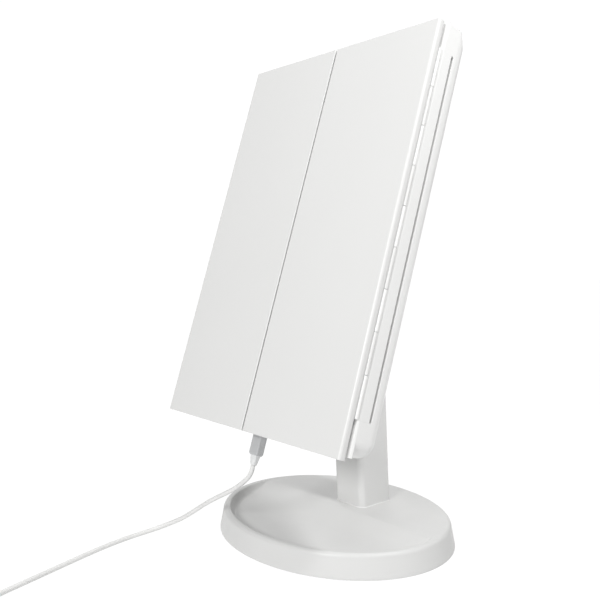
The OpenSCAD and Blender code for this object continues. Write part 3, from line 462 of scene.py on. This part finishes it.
# ---------------------------------------------------------------- base, one smooth moulding, in millimetres
BASE_A, BASE_B, BASE_H = 89.3, 74.6, 15.7   # half its width, half its depth, and its height
DRAFT = 2.4                             # how far its wall leans in
BASE_LOW = 0.4                          # height of the lower edge above the table
EDGE_R = 2.8                            # rounding of the upper edge
RIM_IN = 7.4                            # inset of the tray's wall from the oval's edge
RIM_FLAT = 0.6                          # level strip of the rim inside its rounding
TRAY_DEPTH, TRAY_WALL, TRAY_BACK_Y, TRAY_SLOPE = 7, 4.5, 7, 30
HOLLOW = 2.2                            # power of the tray's rounding: it falls steeply, then levels out
WALL_EASE, BACK_EASE = 0.1, 0.06        # softness of the tray's edge along the wall and along the back
TRAY_BLEND = 2.5                        # depth over which wall and back slope run into each other
HOLLOW_IN, HOLLOW_TOP, HOLLOW_LEAN = 2.5, 6.2, 0.9  # recess underneath: inset of its edge, height, draft
# Insets of the softly broken lower edge, and how far each lies above it
LOWER_EDGE = [(0.3, 0), (0.1, 0.1), (0.05, 0.4)]
FINE_STEP, FINE_RINGS = 0.3, 26         # rings over the rim and the tray's wall
COARSE_STEP = 1.5                       # rings further in
AROUND = 240


def hollow_depth(way, length, ease):
    """Depth of the tray at a distance from its edge; ease rounds the edge."""
    f = way / length
    f = min((f + math.sqrt(f * f + ease * ease)) / 2, 1)
    return TRAY_DEPTH * (1 - (1 - f) ** HOLLOW)


def tray_depth(inset, y):
    """Depth of the tray at an inset from the oval's edge and a distance from its middle."""
    wall = hollow_depth(inset - RIM_IN, TRAY_WALL, WALL_EASE)
    back = hollow_depth(TRAY_BACK_Y - y, TRAY_SLOPE, BACK_EASE)
    blend = max(TRAY_BLEND - abs(wall - back), 0)
    return max(min(wall, back) - blend * blend / (4 * TRAY_BLEND), 0)


def base_rings():
    """Insets and heights of the rings, from the underside out, up and in; None is the tray's height."""
    rings = [(HOLLOW_IN + HOLLOW_LEAN, HOLLOW_TOP), (HOLLOW_IN, BASE_LOW)]
    rings += [(inset, BASE_LOW + above) for inset, above in LOWER_EDGE]
    wall_h = BASE_H - EDGE_R - BASE_LOW
    rings += [(DRAFT * i / 6, BASE_LOW + wall_h * i / 6) for i in range(1, 7)]
    arcs = [math.radians(a) for a in range(15, 91, 15)]
    rings += [(DRAFT + EDGE_R * (1 - math.cos(a)), BASE_H - EDGE_R * (1 - math.sin(a))) for a in arcs]
    rings += [(DRAFT + EDGE_R + RIM_FLAT + FINE_STEP * i, None) for i in range(FINE_RINGS)]
    first = rings[-1][0]
    steps = int((BASE_B - first - 1) / COARSE_STEP)
    rings += [(first + COARSE_STEP * i, None) for i in range(1, steps + 1)]
    return rings


def make_base(mat):
    verts = []
    rings = base_rings()
    for inset, height in rings:
        for k in range(AROUND):
            a = 2 * math.pi * k / AROUND
            x, y = (BASE_A - inset) * math.cos(a), (BASE_B - inset) * math.sin(a)
            z = BASE_H - tray_depth(inset, y) if height is None else height
            verts.append((x * MM, y * MM, z * MM))
    faces = skin(len(rings), AROUND)
    faces.append(tuple(reversed(range(AROUND))))
    # The last ring is filled with strips from side to side
    last = (len(rings) - 1) * AROUND
    faces += [(last + k, last + k + 1, last + AROUND - k - 1, last + (AROUND - k) % AROUND)
              for k in range(AROUND // 2)]
    base = new_object("base_moulding", verts, faces, mat)
    base.data.set_sharp_from_angle(angle=math.radians(50))
    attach(base, nodes["base_shell"]["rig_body"])
    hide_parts("base_shell")


make_base(FINISH["stand"])

# ---------------------------------------------------------------- foot of the column, in millimetres
COL_W, COL_D, COL_R, COL_Y = 28, 30.5, 4.5, 14.5    # width, depth, corner radius, and front edge on the base
COL_LEAN = math.radians(3.4)
FLARE, FOOT_TOP = 0.7, 6.4              # how far the foot spreads, and the height where it meets the column
SUNK = 0.08                             # its curve starts this far below the base's face, its skirt at twice
SKIRT = 1.2                             # how far the skirt spreads past the flare
CORNER_STEPS = 8
OVER = 0.01                             # how far it stands proud of the column, so that neither flickers


def column_ring(out, z):
    """Ring of the column at a height, drawn out, in metres."""
    ring, front = [], COL_Y - (z - BASE_H) * math.tan(COL_LEAN)
    for corner in range(4):
        cx = (COL_W / 2 - COL_R) * (1 if corner in (0, 3) else -1)
        cy = front + COL_D / 2 + (COL_D / 2 - COL_R) * (1 if corner in (0, 1) else -1)
        for k in range(CORNER_STEPS + 1):
            a = math.radians(90 * corner + 90 / CORNER_STEPS * k)
            x, y = cx + (COL_R + out) * math.cos(a), cy + (COL_R + out) * math.sin(a)
            ring.append((x * MM, y * MM, z * MM))
    return ring


def cut_foot(bm):
    """Takes the plain flare off the column's copy, between the base's top and the smooth foot's upper end."""
    levels = ((BASE_H - 1) * MM, (BASE_H + FOOT_TOP - 0.5) * MM)
    for z in levels:
        bmesh.ops.bisect_plane(bm, geom=bm.verts[:] + bm.edges[:] + bm.faces[:], plane_co=(0, 0, z),
                               plane_no=(0, 0, 1), dist=1e-7)
    inside = [f for f in bm.faces if levels[0] < f.calc_center_median().z < levels[1]]
    bmesh.ops.delete(bm, geom=inside, context="FACES")


def make_foot(mat):
    """The smooth flare where the column stands on the base."""
    low = BASE_H - SUNK
    rings = [column_ring(FLARE + SKIRT, low - SUNK)]
    for degrees in range(0, 91, 6):
        a = math.radians(degrees)
        rings.append(column_ring(FLARE * (1 - math.sin(a)) + OVER, low + FLARE * (1 - math.cos(a))))
    rings.append(column_ring(OVER, BASE_H + FOOT_TOP))
    verts = [v for ring in rings for v in ring]
    foot = new_object("column_foot", verts, skin(len(rings), len(rings[0])), mat)
    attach(foot, nodes["column"]["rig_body"])


make_foot(FINISH["column"])
dress("column", FINISH["column"], 0.0006, reshape=cut_foot)

# ---------------------------------------------------------------- hinge strips, flush at both ends
TILT = math.radians(18)                 # how far the head leans back
PIVOT = Vector((0, 0.0098, 0.2))        # the tilt pin's axis
PIVOT_UP = 0.1385                       # the pin's height above the wings' lower ends, along the head
UP = Vector((0, math.sin(TILT), math.cos(TILT)))
STRIP_LOW, STRIP_HIGH, STRIP_FIT = 0.023, 0.247, 0.0001


def close_ends(bm):
    """Stretches a hinge strip over the hairline at each of its ends."""
    for vert in bm.verts:
        up = (vert.co - PIVOT).dot(UP) + PIVOT_UP
        if up < STRIP_LOW + STRIP_FIT / 2:
            vert.co -= UP * STRIP_FIT
        elif up > STRIP_HIGH - STRIP_FIT / 2:
            vert.co += UP * STRIP_FIT


for side in ("left", "right"):
    dress(side + "_hinge_strip", FINISH["gloss"], 0.00005, 2, reshape=close_ends)

# ---------------------------------------------------------------- wings, a shade apart along the seam
SEAM_NEAR, SEAM_OPEN = 0.001, 0.00025


def open_seam(bm):
    """Draws a wing's edge back from the seam, which shows as a broad soft line in the photo."""
    for vert in bm.verts:
        if abs(vert.co.x) < SEAM_NEAR:
            vert.co.x += math.copysign(SEAM_OPEN, vert.co.x)


for side in ("left", "right"):
    dress(side + "_wing_shell", FINISH["wing"], 0.0004, reshape=open_seam)

# ---------------------------------------------------------------- other CAD nodes: name, finish, rounding
for node, mat, width in [
    ("front_frame", "gloss", 0.0001), ("rear_case", "gloss", 0.0001),
    ("tilt_bracket", "gloss", 0.0004), ("battery_door", "gloss", 0.00025),
    ("base_plate", "satin", 0.0002), ("base_pad", "rubber", 0.0003),
    ("switch_knob", "grey", 0.0002), ("switch_body", "black", 0.0002),
    ("tilt_pin", "steel", 0.0004), ("tilt_washers", "steel", 0.0001),
    ("bracket_screws", "steel", 0.0003), ("case_screws", "steel", 0.0003),
    ("base_screws", "steel", 0.0002), ("column_screws", "steel", 0.0003),
    ("left_hinge_pin", "steel", 0.0001), ("right_hinge_pin", "steel", 0.0001),
    ("usb_socket", "steel", 0.0001), ("battery_contacts", "steel", 0.0001),
    ("battery_cells", "cell", 0.0005), ("ballast_plate", "plate", 0.0003),
    ("centre_mirror", "mirror", 0.0002), ("left_wing_upper_mirror", "mirror", 0.0002),
    ("left_wing_lower_mirror", "mirror", 0.0002), ("right_wing_mirror", "mirror", 0.0002),
    ("left_diffuser", "opal", 0.0002), ("right_diffuser", "opal", 0.0002),
    ("left_light_board", "circuit", 0.0001), ("right_light_board", "circuit", 0.0001),
    ("leds", "led", 0.0002), ("light_leads", "lead", 0.0001), ("control_board", "circuit", 0.0001),
    ("touch_pad", "steel", 0.0001), ("left_wing_pad", "foam", 0.0002), ("right_wing_pad", "foam", 0.0002),
]:
    dress(node, FINISH[mat], width)

# ---------------------------------------------------------------- floor
FLOOR = 6                               # half its size
floor = new_object("floor", [(-FLOOR, -FLOOR, 0), (FLOOR, -FLOOR, 0), (FLOOR, FLOOR, 0), (-FLOOR, FLOOR, 0)],
                   [(0, 1, 2, 3)], paper(), False)
